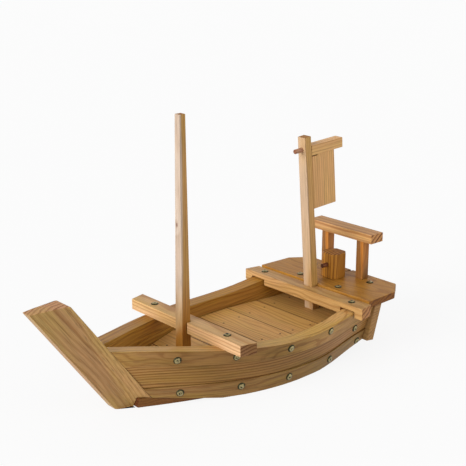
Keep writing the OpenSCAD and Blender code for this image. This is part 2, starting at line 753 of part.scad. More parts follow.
stem_post();
bottom_board();
port_lower_strake();
port_middle_strake();
port_upper_strake();
starboard_lower_strake();
starboard_middle_strake();
starboard_upper_strake();
floor_plank_1();
floor_plank_2();
floor_plank_3();
floor_plank_4();
floor_plank_5();
floor_plank_6();
floor_plank_7();
floor_bearer_port();
floor_bearer_starboard();
transom();
stern_deck();
mast_thwart();
stern_thwart();
canopy_rail();
canopy_post_port();
canopy_post_starboard();
bitt_block();
bitt_peg();
hull_tacks_port();
hull_tacks_starboard();
mast_thwart_tacks();
stern_thwart_tacks();
deck_tacks();
floor_nails();
mast();
flag_post();
flag_peg();
flag_bar();
flag_board();
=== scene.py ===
"""Dressed scene of a small wooden sushi boat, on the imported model's frame.

The boat is planked in honey-coloured softwood under a clear satin lacquer. Every
plank is cut from its own balk of solid grain, so its growth rings run through it:
straight stripes on a quartered face, arched figure on a flat one, and dark bands
on the end grain. Lengths in the grain are in millimetres, all others in metres.
"""

from __future__ import annotations

import logging
import math
from dataclasses import dataclass, field, replace
from enum import Enum

import bpy
import numpy as np
from mathutils import Euler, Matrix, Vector


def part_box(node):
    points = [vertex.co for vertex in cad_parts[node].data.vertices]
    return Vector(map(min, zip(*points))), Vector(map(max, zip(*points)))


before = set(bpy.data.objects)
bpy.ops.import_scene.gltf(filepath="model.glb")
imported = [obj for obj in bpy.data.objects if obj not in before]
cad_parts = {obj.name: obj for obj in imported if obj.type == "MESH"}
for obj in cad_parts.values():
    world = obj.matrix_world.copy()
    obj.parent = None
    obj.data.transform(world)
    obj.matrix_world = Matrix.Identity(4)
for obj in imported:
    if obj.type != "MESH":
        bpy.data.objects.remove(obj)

LOG = logging.getLogger("sushi_boat")

Colour = tuple[float, float, float]
Stops = tuple[tuple[float, float], ...]
Knots = tuple[tuple[Colour, float, float], ...]
Link = bpy.types.NodeSocket

MILLIMETRES = 1000.0
WHITE: Colour = (1.0, 1.0, 1.0)
RISE: Stops = ((0.0, 0.0), (1.0, 1.0))
FALL: Stops = ((0.0, 1.0), (1.0, 0.0))


class Run(Enum):
    """Direction in which the grain of a piece runs, as a turn of the boat's axes.

    The turn is in degrees, and after it X runs along the grain.
    """

    FORE_AND_AFT = (0.0, 0.0, 0.0)
    ACROSS = (0.0, 0.0, 90.0)
    UPRIGHT = (0.0, -90.0, 0.0)
    FLAG_POST = (0.0, -95.15, 0.0)
    FLAG_BAR = (0.0, -3.5, 0.0)
    STEM = (0.0, -126.3, 0.0)

    def turn(self) -> Euler:
        """The turn in radians."""
        return Euler([math.radians(a) for a in self.value])

    def axis(self) -> Vector:
        """Direction of the grain in the boat's frame."""
        return self.turn().to_matrix() @ Vector((1.0, 0.0, 0.0))


class Writer:
    """A small writer of nodes for one tree."""

    def __init__(self, tree: bpy.types.NodeTree) -> None:
        """Keeps the tree."""
        self.tree = tree

    def add(self, kind: str, *given: Link | float | Colour, **settings: object) -> bpy.types.Node:
        """Adds one node.

        Args:
            kind: the node's type name.
            given: what its first inputs are fed, in their order.
            settings: properties to set on it.

        Returns:
            The new node.
        """
        node = self.tree.nodes.new(kind)
        for key, value in settings.items():
            setattr(node, key, value)
        for socket, value in zip(node.inputs, given):
            self.feed(socket, value)
        return node

    def feed(self, socket: Link, value: Link | float | Colour) -> None:
        """Links an output to a socket, or writes a constant there.

        Args:
            socket: the input to feed.
            value: an output, a number, or a vector or colour.
        """
        if isinstance(value, bpy.types.NodeSocket):
            self.tree.links.new(value, socket)
        elif isinstance(value, tuple) and len(value) == 3 and socket.type == "RGBA":
            socket.default_value = (*value, 1.0)
        else:
            socket.default_value = value

    def math(self, operation: str, a: Link | float, b: Link | float = 0.0) -> Link:
        """One arithmetic step on one or two numbers.

        Args:
            operation: the operation's name.
            a: first number.
            b: second number.

        Returns:
            The result's socket.
        """
        return self.add("ShaderNodeMath", a, b, operation=operation).outputs[0]

    def vector(self, operation: str, *given: Link | Vector | Colour) -> Link:
        """One step on one or two vectors.

        Args:
            operation: the operation's name.
            given: the vectors.

        Returns:
            The result's socket.
        """
        node = self.add("ShaderNodeVectorMath", *given, operation=operation)
        return node.outputs["Vector" if operation == "NORMALIZE" else "Value"]

    def background(self) -> Link:
        """Tells the rays that show the white background from those that light the boat.

        Returns:
            A socket that is 1 for rays from the camera, off gloss and through glass.
        """
        path = self.add("ShaderNodeLightPath").outputs
        seen = self.math("MAXIMUM", path["Is Camera Ray"], path["Is Glossy Ray"])
        return self.math("MAXIMUM", seen, path["Is Transmission Ray"])


class Nodes(Writer):
    """A writer of shader nodes for one material."""

    def __init__(self, name: str) -> None:
        """Makes the material and its output.

        Args:
            name: the material's name.
        """
        self.material = bpy.data.materials.new(name)
        self.material.use_nodes = True
        super().__init__(self.material.node_tree)
        self.tree.nodes.clear()
        self.shader = self.add("ShaderNodeBsdfPrincipled")
        self.output = self.add("ShaderNodeOutputMaterial", self.shader.outputs[0])
        self.coords = self.add("ShaderNodeTexCoord")

    def surface(self, values: dict[str, Link | float | Colour]) -> None:
        """Feeds the shader's inputs by their names."""
        for name, value in values.items():
            self.feed(self.shader.inputs[name], value)

    def swing(self, noise: Link, reach: float) -> Link:
        """A noise from 0 to 1 made to swing about zero, so many units in all."""
        return self.math("MULTIPLY", self.math("SUBTRACT", noise, 0.5), reach)

    def curve(self, value: Link, powers: tuple[float, ...]) -> Link:
        """A polynomial of one number, worked out from its highest power down.

        Args:
            value: the number.
            powers: factors of its powers, the highest first.

        Returns:
            The polynomial's socket.
        """
        total: Link | float = powers[0]
        for factor in powers[1:]:
            node = self.add("ShaderNodeMath", total, value, factor, operation="MULTIPLY_ADD")
            total = node.outputs[0]
        return total

    def ramp(self, value: Link, stops: Stops) -> Link:
        """A smooth curve through grey stops.

        Args:
            value: position along the curve.
            stops: pairs of position and grey level.

        Returns:
            The grey level's socket.
        """
        node = self.add("ShaderNodeValToRGB", value)
        node.color_ramp.interpolation = "EASE"
        marks = node.color_ramp.elements
        while len(marks) < len(stops):
            marks.new(0.5)
        for mark, (place, grey) in zip(marks, stops):
            mark.position = place
            mark.color = (grey, grey, grey, 1.0)
        return node.outputs[0]

    def blend(
        self, share: Link | float, a: Link | Colour, b: Link | Colour, how: str = "MIX"
    ) -> Link:
        """Mixes two colours.

        Args:
            share: how much of b there is.
            a: first colour.
            b: second colour.
            how: the blend type.

        Returns:
            The mixed colour's socket.
        """
        node = self.add("ShaderNodeMix", data_type="RGBA", blend_type=how)
        self.feed(node.inputs["Factor"], share)
        first, second = (s for s in node.inputs if s.type == "RGBA")
        self.feed(first, a)
        self.feed(second, b)
        return [s for s in node.outputs if s.type == "RGBA"][0]

    def times(self, colour: Link, by: Link | Colour) -> Link:
        """Multiplies a colour by another."""
        return self.blend(1.0, colour, by, "MULTIPLY")

    def tint(self, share: Link, colour: Link, by: Link | Colour) -> Link:
        """Multiplies a share of a colour by another."""
        return self.blend(share, colour, self.times(colour, by))

    def stretch(self, vector: Link, scale: Colour, shift: Colour = (0.0, 0.0, 0.0)) -> Link:
        """Scales and shifts a vector.

        Args:
            vector: the vector.
            scale: factor along each axis.
            shift: added after scaling.

        Returns:
            The new vector's socket.
        """
        node = self.add("ShaderNodeMapping", vector, shift, vector_type="POINT")
        node.inputs["Scale"].default_value = scale
        return node.outputs[0]

    def facing(self, way: Vector | Colour) -> Link:
        """How squarely the surface faces a way of the boat's frame, or its opposite."""
        lean = self.vector("DOT_PRODUCT", self.coords.outputs["Normal"], way)
        return self.math("ABSOLUTE", lean)

    def noise(self, vector: Link, detail: float = 2.0, rough: float = 0.5) -> Link:
        """Smooth noise with one bump per unit of the vector, from 0 to 1.

        Args:
            vector: where the noise is read.
            detail: octaves.
            rough: strength of the finer octaves.

        Returns:
            The noise's socket.
        """
        node = self.add("ShaderNodeTexNoise", vector, noise_dimensions="3D")
        node.inputs["Scale"].default_value = 1.0
        node.inputs["Detail"].default_value = detail
        node.inputs["Roughness"].default_value = rough
        return node.outputs["Fac"]

    def relief(self, height: Link, strength: float, depth: float) -> None:
        """Gives the shader a bump.

        Args:
            height: the relief.
            strength: strength of the bump.
            depth: its depth, in metres.
        """
        bump = self.add("ShaderNodeBump", strength, depth)
        self.feed(bump.inputs["Height"], height)
        self.surface({"Normal": bump.outputs[0]})


@dataclass(frozen=True)
class Cut:
    """How one piece is cut from its balk.

    Attributes:
        run: direction of the grain.
        pith: distance of the pith line from the piece's middle, in millimetres.
        seed: shifts the noise, so that no two pieces are alike.
        rise: bend of the grain in height, as factors of the powers of the place
            along the piece over 100 mm, in millimetres; none for a straight piece.
        bulge: the same for its bend sideways.
        knots: place in the grain, radius and darkness of each knot.
        half: half width of a plank whose long edges are darkened along the
        joint, in millimetres; 0 for none.
    """

    run: Run
    pith: tuple[float, float]
    seed: float
    rise: tuple[float, ...] = ()
    bulge: tuple[float, ...] = ()
    knots: Knots = ()
    half: float = 0.0


class Balk(Nodes):
    """A writer for one wooden piece, which knows its grain.

    The grain is a vector with X along it, in millimetres from the piece's middle,
    straightened where the piece is bent.
    """

    def __init__(self, name: str, middle: Vector, cut: Cut) -> None:
        """Makes the material and finds the grain.

        Args:
            name: the material's name.
            middle: middle of the piece, in metres.
            cut: how the piece is cut.
        """
        super().__init__(name)
        self.cut = cut
        self.shift = (cut.seed * 7.31, cut.seed * 3.17, cut.seed * 5.71)
        place = (self.coords.outputs["Object"], middle, cut.run.turn(), (1.0 / MILLIMETRES,) * 3)
        self.grain = self.add("ShaderNodeMapping", *place, vector_type="TEXTURE").outputs[0]
        if cut.rise:
            self.straighten()

    def straighten(self) -> None:
        """Takes the bend of the piece out of its grain."""
        parts = self.add("ShaderNodeSeparateXYZ", self.grain).outputs
        whole = self.add("ShaderNodeCombineXYZ", parts["X"])
        share = self.math("MULTIPLY", parts["X"], 0.01)
        for axis, powers in (("Y", self.cut.bulge or (0.0,)), ("Z", self.cut.rise)):
            bend = self.curve(share, powers)
            self.feed(whole.inputs[axis], self.math("SUBTRACT", parts[axis], bend))
        self.grain = whole.outputs[0]

    def figure(self, scale: Colour, detail: float = 2.0, rough: float = 0.5) -> Link:
        """Noise in the grain, which differs from piece to piece."""
        return self.noise(self.stretch(self.grain, scale, self.shift), detail, rough)

    def near(self, place: Colour, radius: float) -> Link:
        """Distance from a point over a radius, half as steep along the grain.

        Args:
            place: the point, in the grain.
            radius: the radius, in millimetres.

        Returns:
            The distance's socket: 1 at the radius.
        """
        scale = (0.5 / radius, 1.0 / radius, 1.0 / radius)
        shift = (-0.5 * place[0] / radius, -place[1] / radius, -place[2] / radius)
        return self.vector("LENGTH", self.stretch(self.grain, scale, shift))


@dataclass(frozen=True)
class Figure:
    """Noise scales and curves that all the balks share.

    A scale is in bumps per millimetre, along the grain and twice across it. A
    curve is a row of stops, each a place and a level.

    Attributes:
        sway, ripple: scales of the slow and the quick wander of the rings.
        sway_reach, ripple_reach: the wanders, as multiples of a wood's own sway.
        year: darkness of a growth ring, from the pith outwards.
        least_year: strength of the weakest ring beside the strongest.
        patch, patches: scale and curve of the patches of the second hue.
        sap_and_highlight_soft: width over which the pale outer part takes over, in
        millimetres: sapwood, which on the mast and the flag post is a painted highlight.
        streak: scale of the broad fibres.
        fine, fines: scale and curve of the fine fibres.
        dash, dashes: scale and curve of the short dark dashes.
        speck, specks: scale and curve of the pores in end grain.
        knot: colour of a knot.
        knot_reach, knot_lift: radii over which it bends the rings, and how far.
        level, end: curves that tell level faces and end grain.
        joint_dark, joint_darks: colour that darkens a plank along its joints, and its
        curve in millimetres.
    """

    sway: Colour = (0.009, 0.03, 0.03)
    ripple: Colour = (0.028, 0.11, 0.11)
    sway_reach: float = 4.0
    ripple_reach: float = 0.7
    year: Stops = ((0.0, 0.30), (0.14, 0.0), (0.45, 0.08), (0.80, 1.0), (0.92, 0.95), (1.0, 0.30))
    least_year: float = 0.4
    patch: Colour = (0.010, 0.05, 0.05)
    patches: Stops = ((0.36, 0.0), (0.64, 1.0))
    sap_and_highlight_soft: float = 3.5
    streak: Colour = (0.02, 0.9, 0.9)
    fine: Colour = (0.08, 4.0, 4.0)
    fines: Stops = ((0.32, 0.86), (0.52, 1.0))
    dash: Colour = (0.05, 1.5, 1.5)
    dashes: Stops = ((0.70, 0.0), (0.82, 0.5))
    speck: Colour = (0.6, 1.1, 1.1)
    specks: Stops = ((0.30, 0.78), (0.65, 1.08))
    knot: Colour = (0.13, 0.045, 0.018)
    knot_reach: float = 5.0
    knot_lift: float = 1.6
    level: Stops = ((0.6, 0.0), (0.9, 1.0))
    end: Stops = ((0.66, 0.0), (0.90, 1.0))
    joint_dark: Colour = (0.13, 0.058, 0.022)
    joint_darks: Stops = ((0.30, 0.80), (1.0, 0.0))


@dataclass(frozen=True)
class Lacquer:
    """The satin lacquer and the relief that all the woods share.

    Attributes:
        sheen: specular level of the wood under it.
        roughness, index: the lacquer's roughness and index of refraction.
        broken: how far the fine fibres vary the wood's roughness.
        dry: how much rougher end grain is, which drinks it.
        worn: share of it that is left on level faces.
        relief, depth: strength and depth of the grain's relief.
    """

    sheen: float = 0.16
    roughness: float = 0.3
    index: float = 1.5
    broken: float = 0.16
    dry: float = 0.2
    worn: float = 0.1
    relief: float = 0.3
    depth: float = 0.00015


FIGURE = Figure()
LACQUER = Lacquer()


@dataclass(frozen=True)
class Wood:
    """Lacquered softwood of one balk.

    Attributes:
        early: colour of the wide pale part of a growth ring.
        late: tint of its narrow dark part.
        blush: second hue, which comes in wide patches.
        sap_and_highlight: colour of the sapwood; on the mast and the flag post it is
            a painted highlight on the bow face, where the key light falls.
        sap_and_highlight_from: distance from the pith at which it begins, in
            millimetres; none if the balk shows neither.
        end: tint of the end grain.
        ring: width of a growth ring, in millimetres.
        contrast: how strongly the dark part shows.
        sway: how far the rings wander along the piece, in millimetres.
        fibre: strength of the fine streaks along the grain.
        roughness: roughness of the surface under the lacquer.
        coat: weight of the lacquer on upright faces; it is worn thin on level ones.
        painted_top_light: tint of the level faces, painted light on their tops
        where it is over one, and painted shade where it is under one.
        painted_light_along: tint of the upright faces that comes in slowly along the piece:
            painted light towards the ends of the hull planks and up the mast, with
            painted shade left at the planks' middles and at the mast's foot.
        painted_light_along_from: where that tint is none, along the grain, and the
            distances from there at which it begins and is whole, in millimetres.
    """

    early: Colour = (0.525, 0.305, 0.118)
    late: Colour = (0.60, 0.46, 0.33)
    blush: Colour = (0.56, 0.325, 0.150)
    sap_and_highlight: Colour = (0.66, 0.48, 0.33)
    sap_and_highlight_from: float | None = None
    end: Colour = (0.66, 0.53, 0.47)
    ring: float = 4.2
    contrast: float = 0.75
    sway: float = 5.0
    fibre: float = 0.16
    roughness: float = 0.45
    coat: float = 0.12
    painted_top_light: Colour = WHITE
    painted_light_along: Colour = WHITE
    painted_light_along_from: Colour = (0.0, 50.0, 160.0)

    def toned(self, tone: float) -> Wood:
        """The same wood, so many times as bright."""
        shades = {k: tuple(tone * c for c in getattr(self, k)) for k in ("early", "blush")}
        return replace(self, **shades)

    def rings(self, n: Balk) -> tuple[Link, Link]:
        """Distance from the pith line, bent by slow noise, and the dark bands in it.

        The distance over the ring width has a fraction that rises slowly to the
        dark late wood and drops at once to the next pale ring. Each year's band
        has its own strength.

        Args:
            n: the material's writer.

        Returns:
            The distance, and the strength of the dark band.
        """
        slow, quick = n.figure(FIGURE.sway, 1.0), n.figure(FIGURE.ripple)
        across = n.stretch(n.grain, (0.0, 1.0, 1.0), (0.0, *n.cut.pith))
        total = n.vector("LENGTH", across)
        total = n.math("ADD", total, n.swing(slow, FIGURE.sway_reach * self.sway))
        total = n.math("ADD", total, n.swing(quick, FIGURE.ripple_reach * self.sway))
        for place, radius, _ in n.cut.knots:
            lift = n.ramp(n.near(place, FIGURE.knot_reach * radius), FALL)
            total = n.math("ADD", total, n.math("MULTIPLY", lift, FIGURE.knot_lift * radius))
        years = n.math("DIVIDE", total, self.ring)
        dark = n.ramp(n.math("FRACT", years), FIGURE.year)
        one = n.add("ShaderNodeTexWhiteNoise", noise_dimensions="1D")
        n.feed(one.inputs["W"], n.math("FLOOR", n.math("ADD", years, n.shift[0])))
        spread = n.math("MULTIPLY", one.outputs["Value"], 1.0 - FIGURE.least_year)
        year = n.math("ADD", spread, FIGURE.least_year)
        return total, n.math("MULTIPLY", dark, n.math("MULTIPLY", year, self.contrast))

    def body(self, n: Balk, reach: Link, late: Link) -> Link:
        """Colour of the growth rings, with patches and sapwood; on the mast and the flag post the
        pale outer part is a painted highlight.

        Args:
            n: the material's writer.
            reach: distance from the pith line.
            late: strength of the dark band.

        Returns:
            The colour's socket.
        """
        pale = n.blend(n.ramp(n.figure(FIGURE.patch), FIGURE.patches), self.early, self.blush)
        # Sapwood; on the mast and the flag post this pale outer part is a painted highlight on the
        # bow face.
        if self.sap_and_highlight_from is not None:
            outer = n.math("DIVIDE", n.math("SUBTRACT", reach, self.sap_and_highlight_from), FIGURE.sap_and_highlight_soft)
            pale = n.blend(n.ramp(outer, RISE), pale, self.sap_and_highlight)
        return n.tint(late, pale, self.late)

    def marks(self, n: Balk, colour: Link, streak: Link, fine: Link) -> Link:
        """Adds the fibres, the short dark dashes and the knots.

        Args:
            n: the material's writer.
            colour: the colour so far.
            streak: broad fibres.
            fine: fine fibres.

        Returns:
            The colour's socket.
        """
        low = 1.0 - 1.8 * self.fibre
        fibres = ((0.30, low), (0.50, 0.97), (0.70, 1.0 + 0.5 * self.fibre))
        colour = n.times(n.times(colour, n.ramp(streak, fibres)), n.ramp(fine, FIGURE.fines))
        dash = n.noise(n.stretch(n.grain, FIGURE.dash, (*n.shift[1:], n.shift[0])), 1.0)
        colour = n.tint(n.ramp(dash, FIGURE.dashes), colour, self.late)
        for place, radius, depth in n.cut.knots:
            spot = n.ramp(n.near(place, radius), ((0.45, depth), (1.0, 0.0)))
            colour = n.blend(spot, colour, FIGURE.knot)
        return colour

    def use(self, n: Balk, colour: Link, level: Link) -> Link:
        """Adds painted light and shade on the level faces and slowly along the upright ones, and
        darkens the joints.

        Args:
            n: the material's writer.
            colour: the colour so far.
            level: how far the face is level.

        Returns:
            The colour's socket.
        """
        # Painted light and shade: the level faces get a tint for how the light falls on their tops.
        flat = n.ramp(level, FIGURE.level)
        colour = n.tint(flat, colour, self.painted_top_light)
        parts = n.add("ShaderNodeSeparateXYZ", n.grain).outputs
        # Painted light along the piece: upright faces are tinted lighter away from a centre, and
        # the part near the centre keeps a painted shade.
        centre, start, whole = self.painted_light_along_from
        away = n.math("ABSOLUTE", n.math("SUBTRACT", parts["X"], centre))
        share = n.math("DIVIDE", n.math("SUBTRACT", away, start), whole - start)
        painted_light_share = n.math("MULTIPLY", n.ramp(share, RISE), n.math("SUBTRACT", 1.0, flat))
        colour = n.tint(painted_light_share, colour, self.painted_light_along)
        if n.cut.half:
            inset = n.math("SUBTRACT", n.cut.half, n.math("ABSOLUTE", parts["Y"]))
            colour = n.blend(n.ramp(inset, FIGURE.joint_darks), colour, FIGURE.joint_dark)
        return colour

    def make(self, name: str, middle: Vector, cut: Cut) -> bpy.types.Material:
        """Builds the node material of one piece.

        Args:
            name: the material's name.
            middle: middle of the piece, in metres.
            cut: how the piece is cut.

        Returns:
            The material.
        """
        n = Balk(name, middle, cut)
        reach, late = self.rings(n)
        streak, fine = n.figure(FIGURE.streak, 3.0, 0.6), n.figure(FIGURE.fine, 2.0, 0.6)
        level = n.facing((0.0, 0.0, 1.0))
        colour = self.marks(n, self.body(n, reach, late), streak, fine)
        colour = self.use(n, colour, level)
        end = n.ramp(n.facing(cut.run.axis()), FIGURE.end)
        sawn = n.times(colour, self.end)
        sawn = n.times(sawn, n.ramp(n.figure(FIGURE.speck, 3.0, 0.7), FIGURE.specks))
        sawn = n.tint(late, sawn, tuple(c * c for c in self.late))
        n.surface({"Base Color": n.blend(end, colour, sawn)})
        self.gloss(n, end, level, fine, n.math("ADD", n.math("MULTIPLY", streak, 0.8), late))
        return n.material

    def gloss(self, n: Balk, end: Link, level: Link, fine: Link, height: Link) -> None:
        """Gives the surface its satin lacquer and the relief of its grain.

        Args:
            n: the material's writer.
            end: how far the face is end grain, which drinks the lacquer.
            level: how far the face is level, where the lacquer is worn thin.
            fine: fine fibres, which break the gloss.
            height: relief of the grain.
        """
        broken = n.math("MULTIPLY", fine, LACQUER.broken)
        rough = n.math("ADD", broken, self.roughness - LACQUER.broken / 2)
        dry = n.math("MULTIPLY", end, LACQUER.dry)
        coat = n.ramp(level, ((0.4, self.coat), (0.85, LACQUER.worn * self.coat)))
        n.surface({
            "Roughness": n.math("ADD", rough, dry), "Specular IOR Level": LACQUER.sheen,
            "Coat Weight": coat, "Coat Roughness": LACQUER.roughness, "Coat IOR": LACQUER.index,
        })
        n.relief(height, LACQUER.relief, LACQUER.depth)


@dataclass(frozen=True)
class Brass:
    """Brass of the tack heads, with painted reflections: a dark crown and skirt, and a bright
    painted highlight ring between.

    Attributes:
        bright: colour of the painted highlight ring.
        dark: colour of the painted dark reflection.
        roughness: roughness of the metal in the highlight ring.
        dull: how much rougher the metal is under the painted dark reflection.
        metal: how metallic the surface is.
        cloud, ragged: bumps per metre of the noise that breaks the painted reflection's
            edge, and its strength.
        painted_reflection: curve of the painted dark reflection, from the skirt to the crown.
        relief, depth: strength and depth of the pitting.
    """

    bright: Colour = (0.38, 0.31, 0.15)
    dark: Colour = (0.035, 0.032, 0.014)
    roughness: float = 0.20
    dull: float = 0.3
    metal: float = 0.9
    cloud: float = 350.0
    ragged: float = 0.35
    painted_reflection: Stops = ((0.78, 1.0), (0.89, 0.15), (0.94, 0.10), (0.99, 1.0))
    relief: float = 0.2
    depth: float = 0.0001

    def make(self, name: str) -> bpy.types.Material:
        """Builds the node material; a painted dark reflection lies on the crown and round the
        skirt.

        Args:
            name: the material's name.

        Returns:
            The material.
        """
        n = Nodes(name)
        lean = n.add("ShaderNodeAttribute", attribute_name="crown")
        cloud = n.noise(n.stretch(n.coords.outputs["Object"], (self.cloud,) * 3), 3.0, 0.6)
        # Painted reflection: the crown and the skirt are darkened, and the ring between is left
        # bright as a painted highlight.
        worn = n.math("ADD", lean.outputs["Fac"], n.swing(cloud, self.ragged))
        painted_reflection = n.ramp(worn, self.painted_reflection)
        rough = n.math("ADD", n.math("MULTIPLY", painted_reflection, self.dull), self.roughness)
        colour = n.blend(painted_reflection, self.bright, self.dark)
        n.surface({"Base Color": colour, "Roughness": rough, "Metallic": self.metal})
        n.relief(cloud, self.relief, self.depth)
        return n.material


class Measure(Enum):
    """How the width of a rounded edge is measured."""

    ACROSS_FACES = "OFFSET"
    ALONG_EDGES = "ABSOLUTE"


class Group(Writer):
    """A writer of geometry nodes for one group."""

    def __init__(self, name: str) -> None:
        """Makes the group with its ends.

        Args:
            name: the group's name.
        """
        super().__init__(bpy.data.node_groups.new(name, "GeometryNodeTree"))
        for way in ("INPUT", "OUTPUT"):
            self.tree.interface.new_socket(
                "Geometry", in_out=way, socket_type="NodeSocketGeometry"
            )
        self.start = self.add("NodeGroupInput").outputs[0]
        self.finish = self.add("NodeGroupOutput").inputs[0]

    def over(self, value: Link, limit: float) -> Link:
        """Tests whether a value is over a limit.

        Args:
            value: the value.
            limit: the limit.

        Returns:
            The answer's socket.
        """
        return self.add("FunctionNodeCompare", value, limit, operation="GREATER_THAN").outputs[0]

    def store(self, name: str, domain: str, value: Link) -> bpy.types.NodeTree:
        """Writes a number to the mesh under a name, and ends the group.

        Args:
            name: the attribute's name.
            domain: what it is written to.
            value: the number.

        Returns:
            The group.
        """
        node = self.add("GeometryNodeStoreNamedAttribute", data_type="FLOAT", domain=domain)
        self.feed(node.inputs["Geometry"], self.start)
        self.feed(node.inputs["Name"], name)
        self.feed(node.inputs["Value"], value)
        self.feed(self.finish, node.outputs[0])
        return self.tree


@dataclass
class Shaping:
    """Finishes the edges and the shading of the pieces. Angles are in degrees.

    Attributes:
        corner, shortest: least angle and length of an edge that is rounded.
        crease: least angle of an edge that is shaded sharp.
        flat, weld: greatest angle and distance at which faces and points are joined.
        segments: faces across a round.
    """

    corner: float = 32.0
    shortest: float = 0.0025
    crease: float = 34.0
    flat: float = 0.3
    weld: float = 0.00001
    segments: int = 2

    def __post_init__(self) -> None:
        """Makes the groups once, for all the pieces."""
        self.corners = self.arris_group()
        self.smooth = self.shading_group()
        self.heads = self.crown_group()

    def arris_group(self) -> bpy.types.NodeTree:
        """Marks the long sharp edges to be rounded.

        Returns:
            The group, which writes the bevel weight of the edges.
        """
        group = Group("arrises")
        angle = group.add("GeometryNodeInputMeshEdgeAngle").outputs["Unsigned Angle"]
        ends = group.add("GeometryNodeInputMeshEdgeVertices").outputs
        length = group.vector("DISTANCE", ends["Position 1"], ends["Position 2"])
        sharp = group.over(angle, math.radians(self.corner))
        both = group.add("FunctionNodeBooleanMath", sharp, group.over(length, self.shortest))
        return group.store("bevel_weight_edge", "EDGE", both.outputs[0])

    def shading_group(self) -> bpy.types.NodeTree:
        """Makes the faces smooth and keeps the sharp edges sharp.

        Returns:
            The group.
        """
        group = Group("shading")
        faces = group.add("GeometryNodeSetShadeSmooth", domain="FACE")
        edges = group.add("GeometryNodeSetShadeSmooth", domain="EDGE")
        angle = group.add("GeometryNodeInputMeshEdgeAngle").outputs["Unsigned Angle"]
        group.feed(faces.inputs["Geometry"], group.start)
        group.feed(faces.inputs["Shade Smooth"], True)
        group.feed(edges.inputs["Geometry"], faces.outputs[0])
        group.feed(edges.inputs["Selection"], group.over(angle, math.radians(self.crease)))
        group.feed(edges.inputs["Shade Smooth"], False)
        group.feed(group.finish, edges.outputs[0])
        return group.tree

    def crown_group(self) -> bpy.types.NodeTree:
        """Writes how far each point of a tack faces the same way as its head.

        The way a head faces is the sum of all the normals of its tack, because
        its dome has far more points than its flat underside.

        Returns:
            The group.
        """
        group = Group("crowns")
        normal = group.add("GeometryNodeInputNormal").outputs["Normal"]
        island = group.add("GeometryNodeInputMeshIsland").outputs["Island Index"]
        total = group.add("GeometryNodeAccumulateField", data_type="FLOAT_VECTOR", domain="POINT")
        group.feed(total.inputs[0], normal)
        group.feed(total.inputs["Group ID"], island)
        way = group.vector("NORMALIZE", total.outputs["Total"])
        return group.store("crown", "POINT", group.vector("DOT_PRODUCT", way, normal))

    def run(self, piece: bpy.types.Object, group: bpy.types.NodeTree) -> None:
        """Adds one of the groups to a piece as a modifier."""
        piece.modifiers.new(group.name, "NODES").node_group = group

    def soften(self, piece: bpy.types.Object, width: float, measure: Measure) -> None:
        """Rounds the long sharp edges of a wooden piece and shades it.

        The loose triangles are welded and flat ones joined, the edges get a
        narrow round, and the normals lean towards the larger faces.

        Args:
            piece: the node's object.
            width: width of the round.
            measure: how the width is measured.
        """
        piece.modifiers.new("weld", "WELD").merge_threshold = self.weld
        join = piece.modifiers.new("join", "DECIMATE")
        join.decimate_type = "DISSOLVE"
        join.angle_limit = math.radians(self.flat)
        self.run(piece, self.corners)
        bevel = piece.modifiers.new("arris", "BEVEL")
        bevel.width = width
        bevel.segments = self.segments
        bevel.limit_method = "WEIGHT"
        bevel.use_clamp_overlap = False
        bevel.offset_type = measure.value
        self.run(piece, self.smooth)
        weigh = piece.modifiers.new("weigh", "WEIGHTED_NORMAL")
        weigh.keep_sharp = True

    def polish(self, piece: bpy.types.Object) -> None:
        """Shades metal smoothly and notes which way each tack faces.

        Args:
            piece: the node's object.
        """
        piece.modifiers.new("weld", "WELD").merge_threshold = self.weld
        self.run(piece, self.heads)
        self.run(piece, self.smooth)


SHAPING = Shaping()


def wear(piece: bpy.types.Object, material: bpy.types.Material) -> None:
    """Puts one material on a piece, in place of what it came with."""
    piece.data.materials.clear()
    piece.data.materials.append(material)


def dress(
    node: str, wood: Wood, cut: Cut, width: float = 0.0006, measure: Measure = Measure.ACROSS_FACES
) -> None:
    """Gives a CAD node its own wood and its rounded edges.

    Args:
        node: the node's name.
        wood: its finish.
        cut: how it is cut from its balk.
        width: width of the rounded edges.
        measure: how that width is measured.
    """
    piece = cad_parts[node]
    low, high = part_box(node)
    wear(piece, wood.make(f"{node}_wood", (low + high) / 2, cut))
    SHAPING.soften(piece, width, measure)
    LOG.info("dressed %s", node)


# The level-face tints of these woods are painted light and shade on their tops. The slow tints of
# their upright faces along a piece are painted light along the hull sides and up the mast, with
# painted shade left at the planks' middles and at the mast's foot.
RAIL_PLANK = Wood(
    early=(0.28, 0.149, 0.031), blush=(0.30, 0.152, 0.043), ring=4.4, contrast=0.85, sway=9.0,
    fibre=0.22, painted_top_light=(2.05, 2.3, 2.8), painted_light_along=(1.66, 1.72, 2.2), painted_light_along_from=(-50.0, 50.0, 140.0),
)
TIGHT_PLANK = Wood(
    early=(0.285, 0.156, 0.032), blush=(0.31, 0.157, 0.042), late=(0.56, 0.42, 0.28), ring=3.5,
    contrast=1.0, sway=0.9, fibre=0.2, painted_light_along=(1.42, 1.40, 1.75), painted_light_along_from=(-15.0, 50.0, 150.0),
)
LOW_PLANK = Wood(
    early=(0.30, 0.175, 0.037), blush=(0.305, 0.163, 0.048), ring=5.0, contrast=0.8, sway=5.0,
    fibre=0.22, painted_light_along=(1.15, 1.15, 1.4),
)
